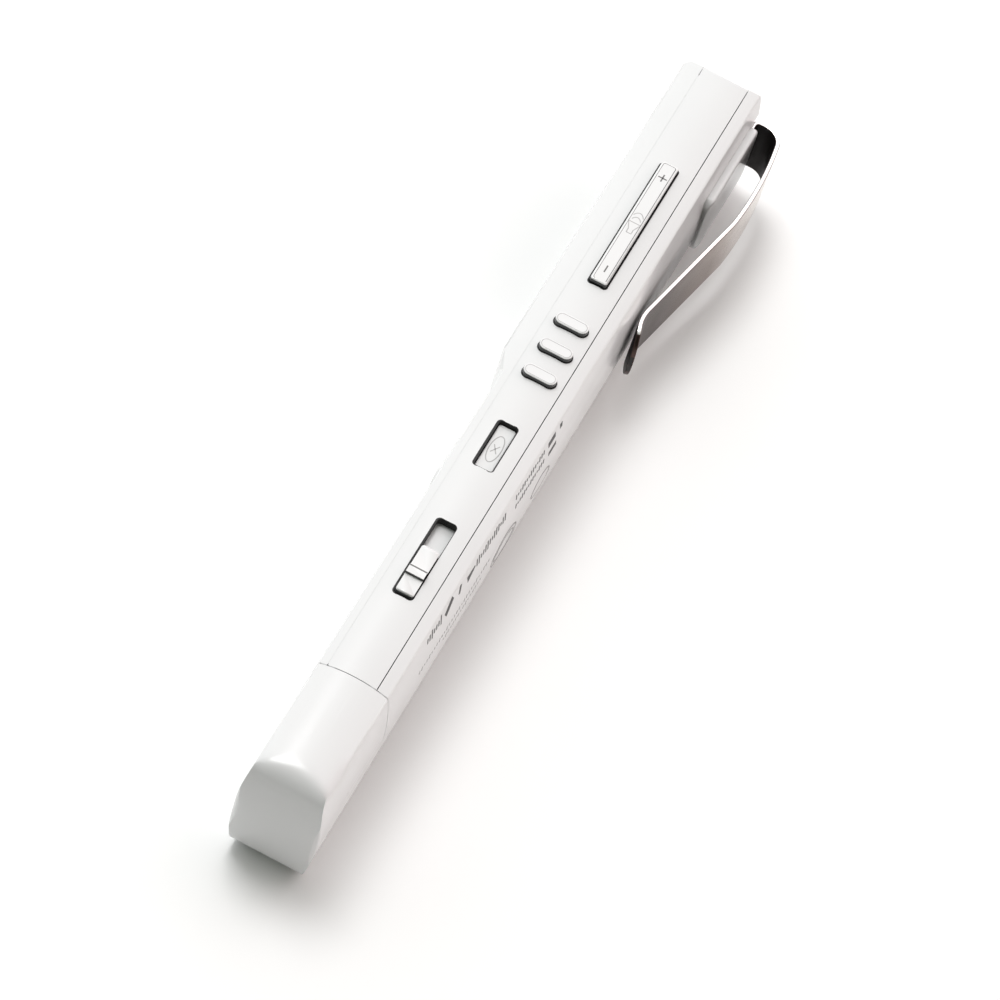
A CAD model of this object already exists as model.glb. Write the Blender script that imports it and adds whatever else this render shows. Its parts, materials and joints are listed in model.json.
import json
import math
import bmesh
import bpy
import numpy as np
from mathutils import Matrix, Vector

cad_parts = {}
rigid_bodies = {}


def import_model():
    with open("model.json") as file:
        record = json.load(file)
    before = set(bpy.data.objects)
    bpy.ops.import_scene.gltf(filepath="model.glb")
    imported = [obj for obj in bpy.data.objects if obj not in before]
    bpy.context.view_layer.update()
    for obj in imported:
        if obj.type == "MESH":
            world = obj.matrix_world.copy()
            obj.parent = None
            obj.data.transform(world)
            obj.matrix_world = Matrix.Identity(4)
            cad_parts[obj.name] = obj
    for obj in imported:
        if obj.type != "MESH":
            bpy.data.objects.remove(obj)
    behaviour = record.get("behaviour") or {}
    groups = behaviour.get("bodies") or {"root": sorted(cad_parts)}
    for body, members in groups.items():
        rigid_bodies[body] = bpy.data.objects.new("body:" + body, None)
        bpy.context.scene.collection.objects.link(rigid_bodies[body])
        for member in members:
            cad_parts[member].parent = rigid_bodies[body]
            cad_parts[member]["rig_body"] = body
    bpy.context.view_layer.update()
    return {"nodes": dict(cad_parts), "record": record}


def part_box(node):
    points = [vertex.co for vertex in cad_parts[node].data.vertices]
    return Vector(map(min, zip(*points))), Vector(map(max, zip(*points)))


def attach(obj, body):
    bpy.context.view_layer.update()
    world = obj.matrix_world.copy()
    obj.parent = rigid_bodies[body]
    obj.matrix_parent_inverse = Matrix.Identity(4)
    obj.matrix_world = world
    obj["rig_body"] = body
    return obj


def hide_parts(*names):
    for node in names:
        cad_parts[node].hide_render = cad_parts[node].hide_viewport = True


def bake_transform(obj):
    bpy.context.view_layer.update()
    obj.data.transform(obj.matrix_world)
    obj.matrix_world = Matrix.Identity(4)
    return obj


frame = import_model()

# Stick voice recorder. Metres; +X to the cap, +Y to the clip, -Y to the display, +Z to the keys.
mm = 0.001
nodes = frame["nodes"]
scene = bpy.context.scene
slotOf = {entry["node"]: entry["material_slot"] for entry in frame["record"]["subparts"]}
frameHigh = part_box("mid_frame")[1]
middleY = frame["record"]["mounts"][0]["pos_m"][1]
middleZ = frameHigh.z / 2


def newMaterial(name):
    material = bpy.data.materials.new(name)
    material.use_nodes = True
    tree = material.node_tree
    return material, tree, tree.nodes["Principled BSDF"]


def addNode(tree, kind, **values):
    node = tree.nodes.new(kind)
    for key, value in values.items():
        if hasattr(node, key):
            setattr(node, key, value)
        else:
            node.inputs[key.replace("_", " ")].default_value = value
    return node


def readAll(items, key, width=3, kind=float):
    # one property of every item in a mesh's list, in rows of width numbers
    values = np.zeros(len(items) * width, kind)
    items.foreach_get(key, values)
    return values.reshape(-1, width) if width > 1 else values


def noiseOn(tree, scale, detail=4.0, stretch=(1, 1, 1)):
    # object coordinates, stretched, into a noise: its value output
    coordinates = addNode(tree, "ShaderNodeTexCoord")
    mapping = addNode(tree, "ShaderNodeMapping")
    mapping.inputs["Scale"].default_value = stretch
    noise = addNode(tree, "ShaderNodeTexNoise", Scale=scale, Detail=detail)
    tree.links.new(coordinates.outputs["Object"], mapping.inputs["Vector"])
    tree.links.new(mapping.outputs["Vector"], noise.inputs["Vector"])
    return noise.outputs["Fac"]


def rampOf(tree, value, stops):
    ramp = addNode(tree, "ShaderNodeValToRGB")
    elements = ramp.color_ramp.elements
    while len(elements) < len(stops):
        elements.new(0.5)
    for element, (place, colour) in zip(elements, stops):
        element.position = place
        element.color = (*colour, 1)
    tree.links.new(value, ramp.inputs["Fac"])
    return ramp.outputs["Color"]


def bumpOf(tree, shader, value, strength, distance):
    bump = addNode(tree, "ShaderNodeBump", Strength=strength, Distance=distance)
    tree.links.new(value, bump.inputs["Height"])
    tree.links.new(bump.outputs["Normal"], shader.inputs["Normal"])


def rangeOf(tree, value, low, high):
    spread = addNode(tree, "ShaderNodeMapRange")
    spread.inputs["To Min"].default_value = low
    spread.inputs["To Max"].default_value = high
    tree.links.new(value, spread.inputs["Value"])
    return spread.outputs["Result"]


def shades(colour, spread):
    return [(0.3, [c * (1 - spread) for c in colour]), (0.7, [min(1, c * (1 + spread)) for c in colour])]


def glossPlastic(name, colour, rough, coat=0.4, coatRough=0.12, spread=0.012, peel=0.006):
    # moulded plastic under a clear lacquer: faint orange peel, dulled by handling in soft patches
    material, tree, shader = newMaterial(name)
    tree.links.new(rampOf(tree, noiseOn(tree, 60, 3), shades(colour, spread)), shader.inputs["Base Color"])
    handled = rangeOf(tree, noiseOn(tree, 140, 6), rough * 0.75, rough * 1.3)
    tree.links.new(handled, shader.inputs["Roughness"])
    shader.inputs["Coat Weight"].default_value = coat
    shader.inputs["Coat Roughness"].default_value = coatRough
    shader.inputs["Specular IOR Level"].default_value = 0.5
    bumpOf(tree, shader, noiseOn(tree, 1800, 2), peel, 0.0002)
    return material


def mattePlastic(name, colour, rough=0.55, grain=2600, strength=0.12):
    # fine spark-eroded texture with slow changes of tone
    material, tree, shader = newMaterial(name)
    tree.links.new(rampOf(tree, noiseOn(tree, 220, 4), shades(colour, 0.1)), shader.inputs["Base Color"])
    worn = rangeOf(tree, noiseOn(tree, 400, 3), rough * 0.85, rough * 1.15)
    tree.links.new(worn, shader.inputs["Roughness"])
    bumpOf(tree, shader, noiseOn(tree, grain, 3), strength, 0.0001)
    return material


def steel(name, colour, rough, stretch=(1, 1, 1), grain=900, strength=0.03):
    # rolled metal: fine drawn lines along one direction and faint finger smudges
    material, tree, shader = newMaterial(name)
    shader.inputs["Metallic"].default_value = 1.0
    tree.links.new(rampOf(tree, noiseOn(tree, 90, 4), shades(colour, 0.06)), shader.inputs["Base Color"])
    smudged = rangeOf(tree, noiseOn(tree, 160, 5), rough * 0.6, rough * 1.6)
    tree.links.new(smudged, shader.inputs["Roughness"])
    bumpOf(tree, shader, noiseOn(tree, grain, 3, stretch), strength, 0.0001)
    return material


def temperedSteel(name):
    # spring steel, browner towards the tip: the tone follows the object's X
    material, tree, shader = newMaterial(name)
    shader.inputs["Metallic"].default_value = 1.0
    coordinates = addNode(tree, "ShaderNodeTexCoord")
    apart = addNode(tree, "ShaderNodeSeparateXYZ")
    tree.links.new(coordinates.outputs["Object"], apart.inputs["Vector"])
    along = addNode(tree, "ShaderNodeMapRange")
    along.inputs["From Min"].default_value = -0.066
    along.inputs["From Max"].default_value = -0.021
    tree.links.new(apart.outputs["X"], along.inputs["Value"])
    cloudy = addNode(tree, "ShaderNodeMath", operation="MULTIPLY_ADD")
    tree.links.new(noiseOn(tree, 260, 5), cloudy.inputs[0])
    cloudy.inputs[1].default_value = 0.12
    tree.links.new(along.outputs["Result"], cloudy.inputs[2])
    stops = [(0.1, (0.8, 0.765, 0.735)), (0.42, (0.66, 0.605, 0.575)), (0.58, (0.27, 0.21, 0.185)),
             (0.85, (0.05, 0.03, 0.025))]
    tree.links.new(rampOf(tree, cloudy.outputs["Value"], stops), shader.inputs["Base Color"])
    tree.links.new(rangeOf(tree, noiseOn(tree, 160, 5), 0.16, 0.34), shader.inputs["Roughness"])
    bumpOf(tree, shader, noiseOn(tree, 900, 3, (0.06, 1, 1)), 0.03, 0.0001)
    return material


def circuitBoard(name):
    # lacquer over copper: a cell pattern gives the traces a lighter green
    material, tree, shader = newMaterial(name)
    coordinates = addNode(tree, "ShaderNodeTexCoord")
    cells = addNode(tree, "ShaderNodeTexVoronoi", feature="DISTANCE_TO_EDGE", Scale=420.0)
    tree.links.new(coordinates.outputs["Object"], cells.inputs["Vector"])
    stops = [(0.02, (0.1, 0.36, 0.16)), (0.08, (0.03, 0.16, 0.07))]
    tree.links.new(rampOf(tree, cells.outputs["Distance"], stops), shader.inputs["Base Color"])
    shader.inputs["Roughness"].default_value = 0.35
    bumpOf(tree, shader, cells.outputs["Distance"], 0.2, 0.0001)
    return material


def dustMesh(name):
    # woven cloth: two crossed waves make the threads
    material, tree, shader = newMaterial(name)
    coordinates = addNode(tree, "ShaderNodeTexCoord")
    heights = []
    for direction in ("X", "Z"):
        wave = addNode(tree, "ShaderNodeTexWave", bands_direction=direction, Scale=1400.0)
        tree.links.new(coordinates.outputs["Object"], wave.inputs["Vector"])
        heights.append(wave.outputs["Fac"])
    both = addNode(tree, "ShaderNodeMath", operation="MULTIPLY")
    tree.links.new(heights[0], both.inputs[0])
    tree.links.new(heights[1], both.inputs[1])
    stops = [(0.1, (0.008, 0.008, 0.008)), (0.8, (0.06, 0.06, 0.065))]
    tree.links.new(rampOf(tree, both.outputs["Value"], stops), shader.inputs["Base Color"])
    shader.inputs["Roughness"].default_value = 0.8
    bumpOf(tree, shader, both.outputs["Value"], 0.5, 0.0001)
    return material


def tintedWindow(name):
    # near-black clear window over the display
    material, tree, shader = newMaterial(name)
    tone = rampOf(tree, noiseOn(tree, 80, 2), shades((0.02, 0.022, 0.026), 0.2))
    tree.links.new(tone, shader.inputs["Base Color"])
    tree.links.new(rangeOf(tree, noiseOn(tree, 260, 5), 0.03, 0.1), shader.inputs["Roughness"])
    shader.inputs["Coat Weight"].default_value = 1.0
    shader.inputs["Coat Roughness"].default_value = 0.03
    return material


finishes = {
    "white_shell": glossPlastic("whiteShell", (0.715, 0.715, 0.718), 0.22, coat=0.4, coatRough=0.3),
    "white_key": glossPlastic("whiteKey", (0.76, 0.758, 0.76), 0.22, coat=0.4),
    "clip_steel": temperedSteel("clipSteel"),
    "plug_steel": steel("plugSteel", (0.62, 0.62, 0.64), 0.3, stretch=(0.05, 1, 1), strength=0.08),
    "screw_steel": steel("screwSteel", (0.5, 0.5, 0.52), 0.34),
    "contact_gold": steel("contactGold", (0.83, 0.6, 0.25), 0.22),
    "liner_plastic": mattePlastic("linerPlastic", (0.6, 0.6, 0.6)),
    "tongue_plastic": mattePlastic("tonguePlastic", (0.03, 0.03, 0.034), 0.45),
    "board_green": circuitBoard("boardGreen"),
    "switch_body": mattePlastic("switchBody", (0.2, 0.2, 0.215)),
    "chip_black": mattePlastic("chipBlack", (0.02, 0.02, 0.022), 0.6),
    "cell_foil": steel("cellFoil", (0.6, 0.6, 0.62), 0.38, strength=0.2),
    "foam_rubber": mattePlastic("foamRubber", (0.03, 0.03, 0.03), 0.85, grain=3000, strength=0.5),
    "capsule_metal": steel("capsuleMetal", (0.62, 0.62, 0.62), 0.3),
    "mesh_black": dustMesh("meshBlack"),
    "jack_black": mattePlastic("jackBlack", (0.03, 0.03, 0.03), 0.4),
    "display_glass": tintedWindow("displayGlass"),
    "display_dark": mattePlastic("displayPanel", (0.12, 0.14, 0.12), 0.5),
    "light_clear": glossPlastic("lightClear", (0.75, 0.16, 0.12), 0.12, spread=0.1),
}
finishes["printInk"] = mattePlastic("printInk", (0.045, 0.042, 0.042), 0.5)
finishes["greyInk"] = mattePlastic("greyInk", (0.16, 0.155, 0.155), 0.5)
finishes["paleInk"] = mattePlastic("paleInk", (0.42, 0.41, 0.41), 0.5)
finishes["keyFlank"] = glossPlastic("keyFlank", (0.035, 0.035, 0.037), 0.14, coat=0.3, spread=0.2)
clipEdge = steel("clipEdge", (0.97, 0.93, 0.92), 0.2, stretch=(0.06, 1, 1))
clipCorner = steel("clipCorner", (0.09, 0.06, 0.055), 0.3)
clipInside = mattePlastic("clipInside", (0.004, 0.002, 0.002), 0.5)
for name, node in nodes.items():
    node.data.materials.clear()
    node.data.materials.append(finishes[slotOf[name]])
print("finishes made:", len(finishes))


# the covers' crowns, mm: arcs of a circle with this half chord, rise, top, middle, and the way they face
crowns = {"keySide": (4.755, 0.9, 19.1, -0.295, 1), "clipSide": (8.65, 1.0, 5.46, 9.55, 1),
          "displaySide": (8.65, 0.8, 5.85, 9.55, -1), "raisedHalf": (8.299, 0.801, 7.351, 9.199, -1)}
crownFit = {"gap": 0.012, "facing": 0.985, "steepest": 0.9}


def crown(which, across):
    # height of a shallow arc over its chord: top minus radius plus root(radius squared - offset squared)
    half, rise, top, middle, way = crowns[which]
    radius = (half * half + rise * rise) / (2 * rise)
    return way * (top - radius + np.sqrt(np.clip(radius * radius - (across - middle) ** 2, 0, None)))


def crownShading(piece):
    # corners lying on a crown take the circle's own normal: offset from its middle over its radius
    bpy.context.view_layer.update()
    mesh = bpy.data.meshes.new_from_object(piece.evaluated_get(bpy.context.evaluated_depsgraph_get()))
    piece.modifiers.clear()
    piece.data = mesh
    normals = readAll(mesh.corner_normals, "vector")
    corner = readAll(mesh.vertices, "co")[readAll(mesh.loops, "vertex_index", 1, np.int32)] / mm
    sides = readAll(mesh.polygons, "loop_total", 1, np.int32)
    facing = np.repeat(readAll(mesh.polygons, "normal"), sides, axis=0)
    for which, (half, rise, top, middle, way) in crowns.items():
        across, up = (1, 2) if which == "keySide" else (2, 1)
        lean = (corner[:, across] - middle) * 2 * rise / (half * half + rise * rise)
        lean = np.clip(lean, -crownFit["steepest"], crownFit["steepest"])
        circle = np.zeros_like(corner)
        circle[:, across] = lean
        circle[:, up] = way * np.sqrt(1 - lean ** 2)
        near = np.abs(corner[:, up] - crown(which, corner[:, across])) < crownFit["gap"]
        onCrown = near & (np.einsum("ij,ij->i", facing, circle) > crownFit["facing"])
        normals[onCrown] = circle[onCrown]
    mesh.normals_split_custom_set(normals.tolist())


# the cap's rounded end, mm: where the softening starts, its slices, its reach and how slowly it comes in
softEnd = {
    "start": 56.0, "slice": 0.5, "reach": 1.0, "fade": 3.0, "sameWay": 0.25, "batches": 24,
    "lows": (-6, 0.3), "highs": (65, 6, 19),
}


def softNormals(piece):
    # past X = start the shell is cut into thin slices; there each corner takes the mean normal of the faces
    # round it that look the same way, weighted by area and by exp(-(distance / reach) squared)
    e = softEnd
    work = bmesh.new()
    work.from_mesh(piece.data)
    for way, first, last in zip(np.eye(3), (e["start"], *e["lows"]), e["highs"]):
        for place in np.arange(first, last, e["slice"]):
            shell = work.verts[:] + work.edges[:] + work.faces[:]
            bmesh.ops.bisect_plane(work, geom=shell, dist=1e-7, plane_co=way * place * mm, plane_no=way)
    mesh = piece.data.copy()
    work.to_mesh(mesh)
    work.free()
    piece.data = mesh
    normals = readAll(mesh.corner_normals, "vector")
    corner = readAll(mesh.vertices, "co")[readAll(mesh.loops, "vertex_index", 1, np.int32)] / mm
    centres, facing = readAll(mesh.polygons, "center") / mm, readAll(mesh.polygons, "normal")
    areas = readAll(mesh.polygons, "area", 1)
    own = np.repeat(facing, readAll(mesh.polygons, "loop_total", 1, np.int32), axis=0)
    near = centres[:, 0] > e["start"] - 3 * e["reach"]
    chosen = np.flatnonzero(corner[:, 0] > e["start"])
    for part in np.array_split(chosen, e["batches"]):
        away = ((corner[part][:, None] - centres[None, near]) ** 2).sum(axis=2)
        sameWay = own[part] @ facing[near].T > e["sameWay"]
        weight = areas[near] * np.exp(-away / e["reach"] ** 2) * sameWay
        mean = weight @ facing[near]
        mean /= np.maximum(np.linalg.norm(mean, axis=1, keepdims=True), 1e-20)  # never a division by nothing
        mix = np.clip((corner[part, :1] - e["start"]) / e["fade"], 0, 1)
        mixed = normals[part] * (1 - mix) + mean * mix
        normals[part] = mixed / np.linalg.norm(mixed, axis=1, keepdims=True)
    mesh.normals_split_custom_set(normals.tolist())


crispAngle = 34  # degrees: edges sharper than this stay crisp
flankRise = 0.5  # key faces that face up less than this are flanks
darkFlanked = ("volumeRocker", "forwardKey", "playKey", "rewindKey", "deleteKey", "modeKnob")
crowned = ("frontCover", "midFrame", "backCover", "plugCap")


def skin(nodeName, pieceName):
    # copy of a CAD node with its vertices merged, smooth but for its crisp edges; keys get dark flanks
    source = nodes[nodeName]
    mesh = source.data.copy()
    mesh.name = pieceName
    piece = bpy.data.objects.new(pieceName, mesh)
    scene.collection.objects.link(piece)
    weld = piece.modifiers.new("weld", "WELD")
    weld.merge_threshold = 0.000001
    bpy.context.view_layer.update()
    evaluated = piece.evaluated_get(bpy.context.evaluated_depsgraph_get())
    finished = bpy.data.meshes.new_from_object(evaluated)
    piece.modifiers.clear()
    piece.data = finished
    finished.polygons.foreach_set("use_smooth", np.ones(len(finished.polygons), bool))
    finished.set_sharp_from_angle(angle=math.radians(crispAngle))
    if pieceName in darkFlanked:
        finished.materials.append(finishes["keyFlank"])
        level = np.abs(readAll(finished.polygons, "normal")[:, 2]) < flankRise
        finished.polygons.foreach_set("material_index", level.astype(np.int32))
    weighted = piece.modifiers.new("shading", "WEIGHTED_NORMAL")
    weighted.keep_sharp = True
    if pieceName in crowned:
        crownShading(piece)
    if pieceName == "plugCap":
        softNormals(piece)
    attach(piece, source["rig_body"])
    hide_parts(nodeName)
    return piece


skins = {
    "front_cover": "frontCover", "back_cover": "backCover", "mid_frame": "midFrame",
    "usb_cap": "plugCap", "clip_block": "clipBlock", "volume_rocker": "volumeRocker",
    "forward_button": "forwardKey", "play_button": "playKey", "rewind_button": "rewindKey",
    "delete_button": "deleteKey", "mode_knob": "modeKnob", "record_button": "recordKey",
    "display_window": "displayWindow", "earphone_jack": "earphoneJack", "usb_shell": "plugShell",
}
for nodeName, pieceName in skins.items():
    skin(nodeName, pieceName)
print("skins made:", len(skins))


def gridPiece(name, points, material, body, capped=True):
    # points[i, j] runs along i and round j; both ends are drawn together to a middle point when capped
    if capped:
        first = np.repeat(points[:1].mean(axis=1, keepdims=True), points.shape[1], axis=1)
        last = np.repeat(points[-1:].mean(axis=1, keepdims=True), points.shape[1], axis=1)
        points = np.concatenate([first, points, last])
    rows, columns = points.shape[:2]
    index = np.arange(rows * columns).reshape(rows, columns)
    beside = np.roll(index, -1, axis=1)
    faces = np.stack([index[:-1], beside[:-1], beside[1:], index[1:]], axis=-1).reshape(-1, 4)
    mesh = bpy.data.meshes.new(name)
    mesh.from_pydata(points.reshape(-1, 3).tolist(), [], faces.tolist())
    return finishPiece(name, mesh, material, body)


newCrispAngle = 38  # degrees, for the pieces made here


def finishPiece(name, mesh, material, body):
    # doubles merged, faces turned outwards, softly shaded, riding on its body
    piece = bpy.data.objects.new(name, mesh)
    scene.collection.objects.link(piece)
    work = bmesh.new()
    work.from_mesh(mesh)
    bmesh.ops.remove_doubles(work, verts=work.verts, dist=0.000002)
    bmesh.ops.dissolve_degenerate(work, edges=work.edges, dist=0.000001)
    bmesh.ops.recalc_face_normals(work, faces=work.faces)
    work.to_mesh(mesh)
    work.free()
    mesh.polygons.foreach_set("use_smooth", np.ones(len(mesh.polygons), bool))
    mesh.set_sharp_from_angle(angle=math.radians(newCrispAngle))
    mesh.materials.append(material)
    if body:
        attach(piece, body)
    return piece


def arcThrough(a, b, c, count):
    # points of the circle through a, b and c, from a to c: centre from the perpendicular bisectors
    a, b, c = (np.array(p, float) for p in (a, b, c))
    system = 2 * np.array([b - a, c - a])
    centre = np.linalg.solve(system, [b @ b - a @ a, c @ c - a @ a])
    angles = [math.atan2(*(p - centre)[::-1]) for p in (a, b, c)]
    turn = (angles[2] - angles[0]) % (2 * math.pi)
    if (angles[1] - angles[0]) % (2 * math.pi) > turn:
        turn -= 2 * math.pi
    t = angles[0] + turn * np.linspace(0, 1, count)
    return centre + np.linalg.norm(a - centre) * np.stack([np.cos(t), np.sin(t)], axis=1)


# the clip: one bent strip, mm; its middle line in X and Y as lines and arcs, each with its number of points
clipStrip = {
    "line": [
        (30, (-48.4, 5.2), (-63.3, 5.2)),
        (12, (-63.3, 5.2), (-63.83, 5.42), (-64.05, 5.95)),
        (4, (-64.05, 6.1), (-64.05, 6.55)),
        (22, (-64.05, 6.7), (-63.27, 8.57), (-61.77, 9.32)),
        (26, (-61.77, 9.32), (-55.0, 10.0), (-46.6, 9.75)),
        (30, (-46.6, 9.75), (-27.9, 6.2)),
        (14, (-27.9, 6.2), (-26.3, 6.04), (-24.8, 6.25)),
        (40, (-24.8, 6.25), (-21.6, 7.3)),
    ],
    "thick": 0.58, "wide": 8.86, "edge": 0.13, "tipTaper": 3.4, "tipPower": 2.4, "round": 48,
    "cutRise": 0.9, "cornerRise": 0.2,
}


def makeClip():
    # a rounded-rectangle section is carried along the middle line; the tip narrows as a blunt half ellipse
    c = clipStrip
    parts = []
    for count, *ends in c["line"]:
        ends = np.array(ends, float)
        part = arcThrough(*ends, count) if len(ends) == 3 else np.linspace(*ends, count)
        joined = parts and np.allclose(parts[-1][-1], part[0])
        parts.append(part[1:] if joined else part)
    path = np.concatenate(parts)
    tangent = np.gradient(path, axis=0)
    tangent /= np.linalg.norm(tangent, axis=1, keepdims=True)
    normal = np.stack([-tangent[:, 1], tangent[:, 0]], axis=1)
    fromTip = np.linalg.norm(path - path[-1], axis=1)
    along = np.clip(1 - fromTip / c["tipTaper"], 0, 1)
    widths = c["wide"] / 2 * np.sqrt(np.clip(1 - along ** c["tipPower"], 0, 1))
    widths = np.maximum(widths, c["edge"] + 0.01)
    count = c["round"]
    angle = np.linspace(0, 2 * math.pi, count, endpoint=False) + math.pi / count
    # four corner centres, each with its own quarter of a small circle
    through = np.sign(np.cos(angle)) * (c["thick"] / 2 - c["edge"]) + c["edge"] * np.cos(angle)
    across = np.sign(np.sin(angle)) * (widths[:, None] - c["edge"]) + c["edge"] * np.sin(angle)
    points = np.zeros((len(path), count, 3))
    points[:, :, 0] = path[:, :1] + normal[:, :1] * through
    points[:, :, 1] = path[:, 1:] + normal[:, 1:] * through
    points[:, :, 2] = middleZ / mm + across
    piece = gridPiece("pocketClip", points * mm, finishes["clip_steel"], None)
    for material in (clipInside, clipEdge, clipCorner):
        piece.data.materials.append(material)
    # dark finish on the body side of the strip, polished cut edges, dark rounded corners
    centres, facing = readAll(piece.data.polygons, "center") / mm, readAll(piece.data.polygons, "normal")
    nearest = np.argmin(np.linalg.norm(centres[:, None, :2] - path[None], axis=2), axis=1)
    outward = np.einsum("ij,ij->i", facing[:, :2], normal[nearest])
    rise = np.abs(facing[:, 2])
    index = np.select([rise > c["cutRise"], rise > c["cornerRise"], outward < 0], [2, 3, 1], 0)
    piece.data.polygons.foreach_set("material_index", index.astype(np.int32))
    weighted = piece.modifiers.new("shading", "WEIGHTED_NORMAL")
    weighted.keep_sharp = True
    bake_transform(piece)
    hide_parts("clip_root", "clip_arm")


def roundedOutline(halfX, halfY, corner, count=72):
    # corner centres plus a circle: each quarter of the circle is pushed out to its own corner
    angle = np.linspace(0, 2 * math.pi, count, endpoint=False) + math.pi / count
    x = np.sign(np.cos(angle)) * (halfX - corner) + corner * np.cos(angle)
    y = np.sign(np.sin(angle)) * (halfY - corner) + corner * np.sin(angle)
    return x, y


# middle along X, half sizes and corner of the hole, rim on the display side, rim elsewhere, depth, in mm
pillRims = (1.07, 2.42, 1.06, 0.03, 0.03, 1.78)
keyOpenings = {
    "volumeGasket": (-34.65, 11.55, 1.35, 0.5, 0.1, 0.05, 1.78),
    "deleteGasket": (6.55, 4.0, 1.35, 0.5, 0.22, 0.06, 1.78),
    "modeGasket": (26.625, 6.575, 1.35, 0.6, 0.2, 0.02, 1.13),
    "forwardGasket": (-15.6, *pillRims),
    "playGasket": (-10.85, *pillRims),
    "rewindGasket": (-6.1, *pillRims),
}
gasketThick = 0.055
gasketPlay = 0.004
rimProud = 0.014
rimSunk = 0.03


def makeGasket(name, size):
    # a thin black sleeve lining the opening, with a flat rim on the crowned face, wider on the display side
    middleX, halfX, halfY, corner, left, wide, deep = size
    x0, y0 = roundedOutline(halfX - gasketPlay, halfY - gasketPlay, corner)
    x1, y1 = roundedOutline(halfX - gasketThick, halfY - gasketThick, corner - gasketThick)
    rimX, rimY = roundedOutline(halfX + wide, halfY + wide, corner + wide)
    rimY = np.where(rimY < 0, rimY - (left - wide), rimY)
    bottom = np.full_like(x0, frameHigh.z / mm - deep)
    middle = middleY / mm
    rings = []
    for x, y, lift in ((x0, y0, None), (x0, y0, -rimSunk), (rimX, rimY, -rimSunk), (rimX, rimY, rimProud),
                       (x1, y1, rimProud), (x1, y1, None), (x0, y0, None)):
        z = bottom if lift is None else crown("keySide", middle + y) + lift
        rings.append(np.stack([middleX + x, middle + y, z], axis=1))
    points = np.array(rings) * mm
    return gridPiece(name, points, finishes["foam_rubber"], "case", capped=False)


# the bead in the seam, mm: its ends in X, its place in Y, width, depth and how far it lies below the crown
seamFill = {"x": (-62.6, 46.4), "y": -3.9, "wide": 0.2, "low": 0.6, "sunk": 0.03}


def makeSeamFill():
    # a pale bead in the display-side seam of the key face, a hair below the crown
    f = seamFill
    x = np.linspace(*f["x"], 60)
    y0, y1 = f["y"] - f["wide"] / 2, f["y"] + f["wide"] / 2
    corners = ((y0, f["low"]), (y1, f["low"]), (y1, f["sunk"]), (y0, f["sunk"]))
    ring = [np.stack([x, np.full_like(x, y), np.full_like(x, crown("keySide", y) - drop)], axis=1)
            for y, drop in corners]
    points = np.stack(ring, axis=1) * mm
    gridPiece("seamFill", points, finishes["white_shell"], "case")


def strokePiece(name, strokes, place, material, body, lift):
    # a stroke is (points, width at its start, width at its end) in the surface's own u, v;
    # place(u, v, lift) puts it on the surface, and four lines round it make a flat bar
    vertices, faces = [], []
    for line, startWide, endWide in strokes:
        line = np.array(line, float)
        reach = np.concatenate([[0], np.cumsum(np.linalg.norm(np.diff(line, axis=0), axis=1))])
        samples = np.union1d(np.linspace(0, reach[-1], max(2, int(reach[-1] / 0.3) + 1)), reach)
        u, v = np.interp(samples, reach, line[:, 0]), np.interp(samples, reach, line[:, 1])
        along = np.gradient(np.stack([u, v], axis=1), samples, axis=0)
        along /= np.linalg.norm(along, axis=1, keepdims=True)
        wide = np.interp(samples, [0, reach[-1]], [startWide, endWide])[:, None]
        side = np.stack([-along[:, 1], along[:, 0]], axis=1) * wide / 2
        corners = ((-1, lift), (1, lift), (1, -lift), (-1, -lift))
        ring = np.stack([place(u + side[:, 0] * way, v + side[:, 1] * way, high)
                         for way, high in corners], axis=1)
        index = sum(len(part) for part in vertices) + np.arange(len(samples) * 4).reshape(-1, 4)
        vertices.append(ring.reshape(-1, 3))
        turned = np.roll(index, -1, axis=1)
        quads = np.stack([index[:-1], turned[:-1], turned[1:], index[1:]], axis=-1)
        faces += quads.reshape(-1, 4).tolist()
        faces += [index[0].tolist(), index[-1][::-1].tolist()]
    mesh = bpy.data.meshes.new(name)
    mesh.from_pydata((np.concatenate(vertices) * mm).tolist(), [], faces)
    return finishPiece(name, mesh, material, body)


def onBack(u, v, lift):
    return np.stack([u, crown("clipSide", v) + lift, v], axis=1)


def levelBars(start, end, z, high, step=0.62, wide=0.27):
    # a row of upright bars whose heights rise and fall as the sum of two sines, like a sound level
    x = np.arange(start, end, -step)
    tall = high * (0.62 + 0.25 * np.sin(2.4 * x) + 0.13 * np.sin(5.3 * x + 1))
    return [([(a, z - h / 2), (a - 0.1, z + h / 2)], wide, wide) for a, h in zip(x, tall)]


def ellipseStroke(x, z, halfX, halfZ, wide, start=0.0, end=2 * math.pi):
    t = np.linspace(start, end, 48)
    return (np.stack([x + halfX * np.cos(t), z + halfZ * np.sin(t)], axis=1).tolist(), wide, wide)


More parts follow.
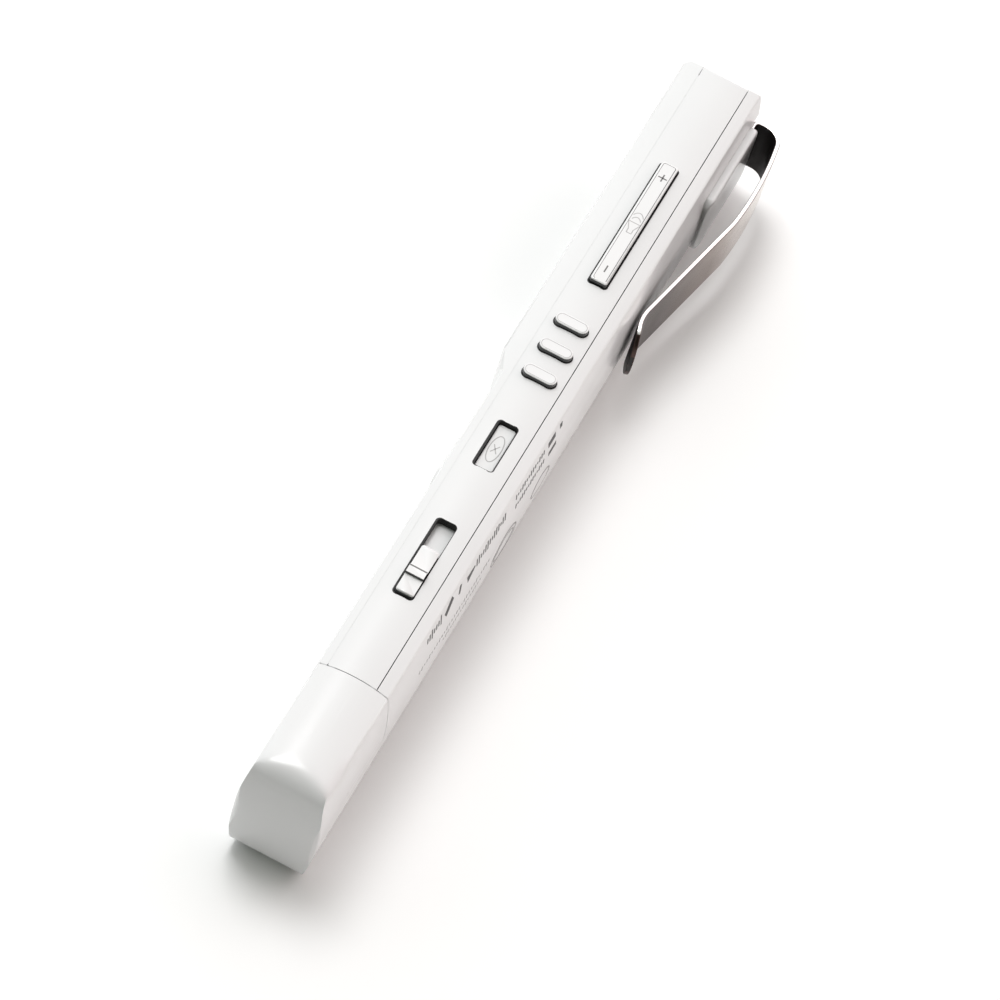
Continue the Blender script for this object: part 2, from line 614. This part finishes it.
# printed marks on the back cover, mm: rows as start and end in X, Z and height
backPrint = {
    "rows": [(35.8, 31.8, 16.9, 1.7), (21.9, 13.6, 16.7, 1.7),
             (10.6, 2.4, 17.0, 1.0), (10.6, 2.4, 15.3, 1.0)],
    "smallRows": [(37.5, 17.5, 12.6, 0.8), (30.3, 19.3, 10.9, 0.8)],
    "leaders": [([(22.4, 16.7), (24.6, 16.3)], 0.3, 1.15), ([(26.45, 17.5), (26.9, 16.2)], 0.5, 0.5),
                ([(28.7, 17.6), (30.8, 16.3)], 0.95, 0.95)],
    "dashes": [([(1.2, 16.9), (-0.9, 17.0)], 0.9, 0.9), ([(-2.2, 17.0), (-2.9, 17.0)], 0.8, 0.8),
               ([(1.0, 15.0), (-1.2, 15.1)], 0.7, 0.7)],
    "outlines": [(12.4, 9.3, 3.5, 2.5), (12.4, 9.3, 2.7, 1.8), (2.2, 10.6, 2.6, 1.7)],
    "outlineWide": 0.22, "smallStep": 0.7, "smallWide": 0.16, "boldLift": 0.014, "thinLift": 0.012,
}


def makeBackPrint():
    b = backPrint
    bold = [bar for row in b["rows"] for bar in levelBars(*row)]
    bold += b["leaders"] + b["dashes"]
    strokePiece("backBars", bold, onBack, finishes["printInk"], "case", b["boldLift"])
    small = {"step": b["smallStep"], "wide": b["smallWide"]}
    thin = [bar for row in b["smallRows"] for bar in levelBars(*row, **small)]
    thin += [ellipseStroke(*outline, b["outlineWide"]) for outline in b["outlines"]]
    strokePiece("backOutlines", thin, onBack, finishes["greyInk"], "case", b["thinLift"])


def ringStroke(x, y, halfX, halfY, corner, wide, start=0.0, end=1.0):
    # a closed or part outline of a rounded bar, anticlockwise from its +X side
    u, v = roundedOutline(halfX, halfY, corner)
    u, v = np.append(u, u[0]) + x, np.append(v, v[0]) + y
    count = len(u) - 1
    chosen = slice(int(start * count), int(end * count) + 1)
    return (np.stack([u[chosen], v[chosen]], axis=1).tolist(), wide, wide)


# marks on the keys, mm: lines as X and Y from the key's middle line, with their widths
keyMarks = {
    "signs": [([(-43.2, -0.62), (-43.2, 0.62)], 0.2, 0.2), ([(-43.85, 0), (-42.55, 0)], 0.2, 0.2),
              ([(-26.3, 0), (-25.1, 0)], 0.2, 0.2), ([(-45.5, 0.86), (-23.8, 0.86)], 0.1, 0.1)],
    "rockerRing": (-34.65, 11.02, 0.88, 0.3, 0.07, 0.3, 0.98),
    "horn": [(-32.6, -0.35), (-33.3, -0.35), (-34.5, -0.85), (-34.5, 0.85), (-33.3, 0.35), (-32.6, 0.35),
             (-32.6, -0.35)],
    "waves": [(-34.2, 0, 1.3, 0.75, 0.13, 2.2, 4.08), (-34.3, 0, 2.0, 0.95, 0.13, 2.3, 3.98)],
    "cross": [([(5.9, -0.4), (7.2, 0.4)], 0.14, 0.14), ([(5.9, 0.4), (7.2, -0.4)], 0.14, 0.14)],
    "crossRing": (6.55, 0, 2.2, 0.82, 0.14),
    "ribEdge": [([(28.88, -1.18), (28.88, 1.18)], 0.2, 0.2)],
    "pillRing": (0.7, 2.05, 0.69, 0.08),
    "hornWide": 0.13,
    "lifts": {"signs": 0.005, "speaker": 0.004, "cross": 0.008, "rib": 0.01, "pill": 0.008},
}


def onKey(height):
    # u is X and v is Y from the keys' middle line
    return lambda u, v, lift: np.stack([u, v + middleY / mm, np.full_like(u, height) + lift], axis=1)


def makeKeyMarks():
    m = keyMarks
    grey, pale, lifts = finishes["greyInk"], finishes["paleInk"], keyMarks["lifts"]
    tops = {name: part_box(name)[1].z / mm for name in ("volume_rocker", "delete_button", "mode_knob")}
    place, halfX, halfY, corner, wide, start, end = m["rockerRing"]
    signs = m["signs"] + [ringStroke(place, 0, halfX, halfY, corner, wide, start, end)]
    strokePiece("rockerSigns", signs, onKey(tops["volume_rocker"]), grey, "rocker", lifts["signs"])
    speaker = [(m["horn"], m["hornWide"], m["hornWide"])] + [ellipseStroke(*wave) for wave in m["waves"]]
    strokePiece("rockerEngraving", speaker, onKey(tops["volume_rocker"]), pale, "rocker", lifts["speaker"])
    cross = m["cross"] + [ellipseStroke(*m["crossRing"])]
    strokePiece("deleteEngraving", cross, onKey(tops["delete_button"]), pale, "delete_key", lifts["cross"])
    strokePiece("knobRibLine", m["ribEdge"], onKey(tops["mode_knob"]), grey, "knob", lifts["rib"])
    for key in ("forward", "play", "rewind"):
        low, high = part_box(key + "_button")
        outline = [ringStroke((low.x + high.x) / 2 / mm, 0, *m["pillRing"])]
        body = nodes[key + "_button"]["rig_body"]
        strokePiece(key + "Outline", outline, onKey(high.z / mm), pale, body, lifts["pill"])


makeClip()
for name, size in keyOpenings.items():
    makeGasket(name, size)
makeSeamFill()
makeBackPrint()
makeKeyMarks()
print("clip, gaskets and marks made")


cameraPlace = {
    "spot": (0.41579, 0.07550, 0.57757), "aim": (-0.00015, 0.00094, 0.0), "roll": 19.24, "lens": 202.1,
}


def makeCamera():
    data = bpy.data.cameras.new("camera")
    data.lens = cameraPlace["lens"]
    data.sensor_width = 36
    data.clip_start = 0.01
    data.clip_end = 50
    camera = bpy.data.objects.new("camera", data)
    scene.collection.objects.link(camera)
    spot = Vector(cameraPlace["spot"])
    look = (Vector(cameraPlace["aim"]) - spot).to_track_quat("-Z", "Y").to_matrix().to_4x4()
    roll = Matrix.Rotation(math.radians(cameraPlace["roll"]), 4, "Z")
    camera.matrix_world = Matrix.Translation(spot) @ look @ roll
    scene.camera = camera


def makeFloor():
    size = 3.0
    mesh = bpy.data.meshes.new("floor")
    corners = [(-size, -size, 0), (size, -size, 0), (size, size, 0), (-size, size, 0)]
    mesh.from_pydata(corners, [], [(0, 1, 2, 3)])
    floor = bpy.data.objects.new("floor", mesh)
    scene.collection.objects.link(floor)
    material, tree, shader = newMaterial("floorPaper")
    tree.links.new(rampOf(tree, noiseOn(tree, 6, 3), [(0.3, (0.9, 0.9, 0.9)), (0.7, (0.93, 0.93, 0.93))]),
                   shader.inputs["Base Color"])
    shader.inputs["Roughness"].default_value = 0.7
    mesh.materials.append(material)


def softbox(name, spot, target, size, power, colour=(1, 1, 1)):
    data = bpy.data.lights.new(name, "AREA")
    data.shape = "RECTANGLE"
    data.size, data.size_y = size
    data.energy = power
    data.color = colour
    lamp = bpy.data.objects.new(name, data)
    scene.collection.objects.link(lamp)
    turn = (Vector(target) - Vector(spot)).to_track_quat("-Z", "Y").to_matrix().to_4x4()
    lamp.matrix_world = Matrix.Translation(spot) @ turn


studio = {
    "skyStrength": 1.47,
    "keySpot": (-0.25, -0.36, 1.1), "keySize": (0.5, 0.5), "keyPower": 6.6,
    "capWay": (0.86, 0.05, 0.5), "clipWay": (0.0, 1.0, -0.1),
    "towardCap": [(0.48, (1, 1, 1)), (0.72, (0.45, 0.475, 0.45)), (0.88, (0.06, 0.075, 0.06)),
                  (1.0, (0.04, 0.05, 0.04))],
    "towardClip": [(0.42, (1, 1, 1)), (0.75, (1.0, 0.9, 0.895)), (1.0, (1.0, 0.86, 0.85))],
}


def makeSky():
    # a bright overcast sky, with a dark green-grey patch above the cap end and some pink towards the clip
    world = bpy.data.worlds.new("studio")
    world.use_nodes = True
    tree = world.node_tree
    background = tree.nodes["Background"]
    coordinates = addNode(tree, "ShaderNodeTexCoord")
    colours = []
    for way, tones in (("capWay", "towardCap"), ("clipWay", "towardClip")):
        dot = addNode(tree, "ShaderNodeVectorMath", operation="DOT_PRODUCT")
        dot.inputs[1].default_value = studio[way]
        tree.links.new(coordinates.outputs["Generated"], dot.inputs[0])
        spread = addNode(tree, "ShaderNodeMapRange")
        spread.inputs["From Min"].default_value = -1
        tree.links.new(dot.outputs["Value"], spread.inputs["Value"])
        colours.append(rampOf(tree, spread.outputs["Result"], studio[tones]))
    both = addNode(tree, "ShaderNodeMix", data_type="RGBA", blend_type="MULTIPLY")
    both.inputs["Factor"].default_value = 1
    ends = [socket for socket in both.inputs if socket.type == "RGBA"]
    tree.links.new(colours[0], ends[0])
    tree.links.new(colours[1], ends[1])
    mixed = [socket for socket in both.outputs if socket.type == "RGBA"][0]
    tree.links.new(mixed, background.inputs["Color"])
    background.inputs["Strength"].default_value = studio["skyStrength"]
    scene.world = world


makeCamera()
makeFloor()
makeSky()
softbox("keyLight", studio["keySpot"], (0, 0, 0), studio["keySize"], studio["keyPower"])
scene.view_settings.view_transform = "Standard"
print("camera, floor and light set")
